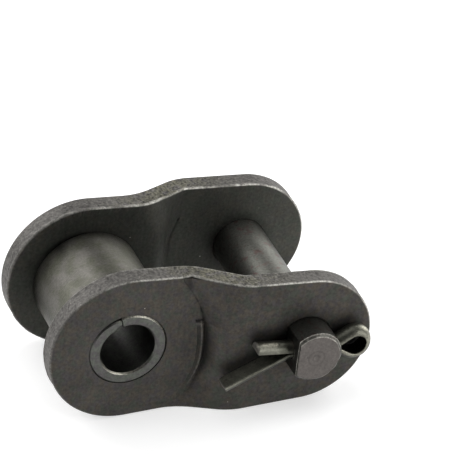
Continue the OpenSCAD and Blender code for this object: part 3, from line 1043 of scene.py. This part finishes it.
# Painted highlights with some wear on the upper leg and the eye; painted shade in the eye, on the lower leg
# and on the upper leg near the pin, with the lower leg's flat and tip painted lighter
def wireMarks(body, section, inEye, end):
    s = cotterSet
    x, z = body[..., 0], body[..., 2]
    level = section[:, 1] < 0.3 * s["corner"]  # the flat side
    crest = bell(section[:, 0], 0.34 * wireR, 0.24 * wireR) * (section[:, 1] > 0.3 * wireR)
    front = ease(section[:, 0], 0.1 * wireR, 0.5 * wireR) * (1 - level)
    edge = bell(np.abs(section[:, 0]), wireR, 0.15 * mm)
    flank = 0.7 * ease(section[:, 1], 0.12 * wireR, 0.45 * wireR)
    leg = 1 - ease(x, pitch - pinR, pitch - 0.5 * pinR)
    tail = ease(x, cotterHigh.x - 1.4 * wireR, cotterHigh.x)
    inward = ease(x, cotterLow.x, cotterLow.x + s["tipLong"])
    patches = roughNoise(x / s["patch"][0], z / s["patch"][1], 71)
    bright = bell(x, cotterHigh.x - s["brightAt"], s["brightWide"]) * crest
    # painted highlights on the upper leg's crest and at the eye's end, with some wear on its edges
    wear = (z > 0) * leg * crest * (0.1 + 0.9 * ease(patches, 0.36, 0.60))
    wear = wear + inEye * np.where(z > 0, 0.45 * tail * front + bright + 0.12 * edge, 0.35 * edge)
    # painted shade in the eye, on the lower leg and on the upper leg near the pin; negative values paint
    # lighter
    paintedShade = inEye * (0.92 * level + (1 - level) * (0.4 * (1 - tail) + 0.5 * tail * ease(-z, 0, 1.0 * mm)))
    lower = (1 - level) * (0.5 * inward - 0.35 + flank) - 0.05 * level + 0.5 * end
    paintedShade = paintedShade + (z < 0) * (leg * lower + 0.6 * inEye * flank)
    paintedShade = paintedShade + (z > 0) * leg * (0.2 + 0.35 * ease(x, pitch - s["shadeFrom"], pitch - s["shadeTo"]))
    return {"wear": np.clip(wear, 0, 1), "dark": paintedShade, "end": end}


# Folded wire: the section carried along its route, drawn together at both tips and thinner round the eye
def foldedCotter():
    s = cotterSet
    parting, upper = math.radians(s["eyeSpread"]), math.radians(s["upperTurn"])
    side = s["eye"] * math.cos(parting) - s["bend"] * (1 - math.cos(parting)) - cotterSlit / 2
    side = side / math.sin(parting)
    tip = np.array([
        pitch - s["legReach"] - s["bend"] * math.sin(upper) - s["upperLeg"] * math.cos(upper),
        cotterSlit / 2 + s["bend"] * (1 - math.cos(upper)) + s["upperLeg"] * math.sin(upper)])
    straight = s["legReach"] + s["neckReach"]
    spots, headings = wireRoute(tip, -upper, [
        (s["upperLeg"], s["bend"], s["upperTurn"]),
        (straight, s["bend"], s["eyeSpread"]),
        (side, s["eye"], -180 - 2 * s["eyeSpread"]),
        (side, s["bend"], s["eyeSpread"]),
        (straight, s["bend"], s["lowerTurn"]),
        (s["lowerLeg"], 0, 0)])
    section = wireSection()
    middle = np.array([0, 0.42 * wireR])
    a = np.linspace(0, math.pi / 2, 5)
    shrink = 1 - s["corner"] * (1 - np.sin(a)) / (0.5 * wireR)
    inset = s["corner"] * (1 - np.cos(a))[:, None]
    ahead = np.stack([np.cos(headings), np.sin(headings)], axis=-1)
    size = column([0], shrink, np.ones(len(spots) - 2), shrink[::-1], [0])
    route = np.concatenate([
        spots[:1], spots[0] + inset * ahead[0], spots[1:-1], spots[-1] - inset[::-1] * ahead[-1], spots[-1:]])
    headings = np.concatenate([headings[:1].repeat(6), headings[1:-1], headings[-1:].repeat(6)])
    tipMark = np.concatenate([[1], 1 - 0.8 * np.sin(a) ** 2])
    end = column(tipMark, np.zeros(len(spots) - 2), tipMark[::-1])
    shape = middle + size[..., None] * (section - middle)
    up = np.stack([-np.sin(headings), np.cos(headings)], axis=-1)
    neck = pitch + s["neckReach"]
    inEye = ease(route[:, :1], neck, neck + 1.2 * mm)
    far = ease(route[:, :1], cotterHigh.x - 1.6 * wireR, cotterHigh.x - 0.4 * wireR)
    thin = s["eyeThin"][0] * (1 - far) + s["eyeThin"][1] * far
    thick = shape[..., 1] * (1 - (1 - thin) * inEye)
    flat = route[:, None] + thick[..., None] * up[:, None]
    body = gridPoints(flat[..., 0], cotterY - shape[..., 0], flat[..., 1])
    marks = wireMarks(body, section, inEye, end)
    return weldSheets("cotterPin", [sheet(body, closeCols=True, **marks)], 40)


seat(foldedCotter(), "cotter_pin", "link", satinFinish("cotterSteel", cotterLook))


# Studio

studio = {
    "azimuth": math.radians(-25.67),  # of the camera
    "elevation": math.radians(32.81),
    "roll": math.radians(7.58),
    "distance": 499.4 * mm,
    "aim": Vector((19.43, 3.17, 8.71)) * mm,
    "lens": 276.1,
    "floorSize": 1.6,
    "floorTone": 0.70,
    "floorGlow": 0.48,  # the table is lit from below
    "air": 0.05,
    "lights": {  # place, size, power
        "overhead": (Vector((-0.20, 0.10, 0.97)), 0.9, 3.4),
        "right": (Vector((0.76, 0.35, 0.55)), 0.9, 7.9),
        "frontRight": (Vector((0.66, -0.66, 0.34)), 0.6, 6.4),
        "back": (Vector((-0.43, 0.80, 0.44)), 0.8, 6.8),
        "left": (Vector((-0.83, 0.0, 0.56)), 0.6, 3.8),
    },
}


# Floor that both lobes stand on: it follows the plates' straight lower edges
def makeFloor():
    half = studio["floorSize"] / 2
    corners = (-half, -half), (half, -half), (half, half), (-half, half)
    drop = bushLobe / math.cos(lean) + plateSet["burrHigh"]
    mesh = bpy.data.meshes.new("floor")
    mesh.from_pydata([(x, y, math.tan(lean) * x - drop) for x, y in corners], [], [(0, 1, 2, 3)])
    floor = newObject("floor", mesh)
    paint = bpy.data.materials.new("floorPaint")
    paint.use_nodes = True
    shader = paint.node_tree.nodes["Principled BSDF"]
    shader.inputs["Base Color"].default_value = (studio["floorTone"],) * 3 + (1,)
    shader.inputs["Roughness"].default_value = 0.9
    shader.inputs["Emission Color"].default_value = (1, 1, 1, 1)
    shader.inputs["Emission Strength"].default_value = studio["floorGlow"]
    mesh.materials.append(paint)


# Dim white air and soft square lights that face the link
def makeLights():
    world = bpy.data.worlds.new("studio")
    world.use_nodes = True
    world.node_tree.nodes["Background"].inputs["Color"].default_value = (1, 1, 1, 1)
    world.node_tree.nodes["Background"].inputs["Strength"].default_value = studio["air"]
    bpy.context.scene.world = world
    for name, (place, size, power) in studio["lights"].items():
        lamp = bpy.data.lights.new(name, "AREA")
        lamp.shape = "SQUARE"
        lamp.size = size
        lamp.energy = power
        light = newObject(name, lamp)
        light.location = place
        light.rotation_euler = (-place).to_track_quat("-Z", "Y").to_euler()


# Camera that looks at the aim point from the azimuth and elevation, then rolls about its own axis
def makeCamera():
    turn, rise = studio["azimuth"], studio["elevation"]
    ahead = Vector((-math.sin(turn) * math.cos(rise), math.cos(turn) * math.cos(rise), -math.sin(rise)))
    level = Vector((math.cos(turn), math.sin(turn), 0))
    over = level.cross(ahead)
    right = level * math.cos(studio["roll"]) + over * math.sin(studio["roll"])
    up = right.cross(ahead)
    lens = bpy.data.cameras.new("camera")
    lens.sensor_fit = "HORIZONTAL"
    lens.sensor_width = 36.0
    lens.lens = studio["lens"]
    lens.clip_start = 0.01
    camera = newObject("camera", lens)
    camera.matrix_world = Matrix((right, up, -ahead)).transposed().to_4x4()
    camera.location = studio["aim"] - ahead * studio["distance"]
    bpy.context.scene.camera = camera


makeFloor()
makeLights()
makeCamera()
bpy.context.scene.view_settings.view_transform = "Standard"
print("studio ready")
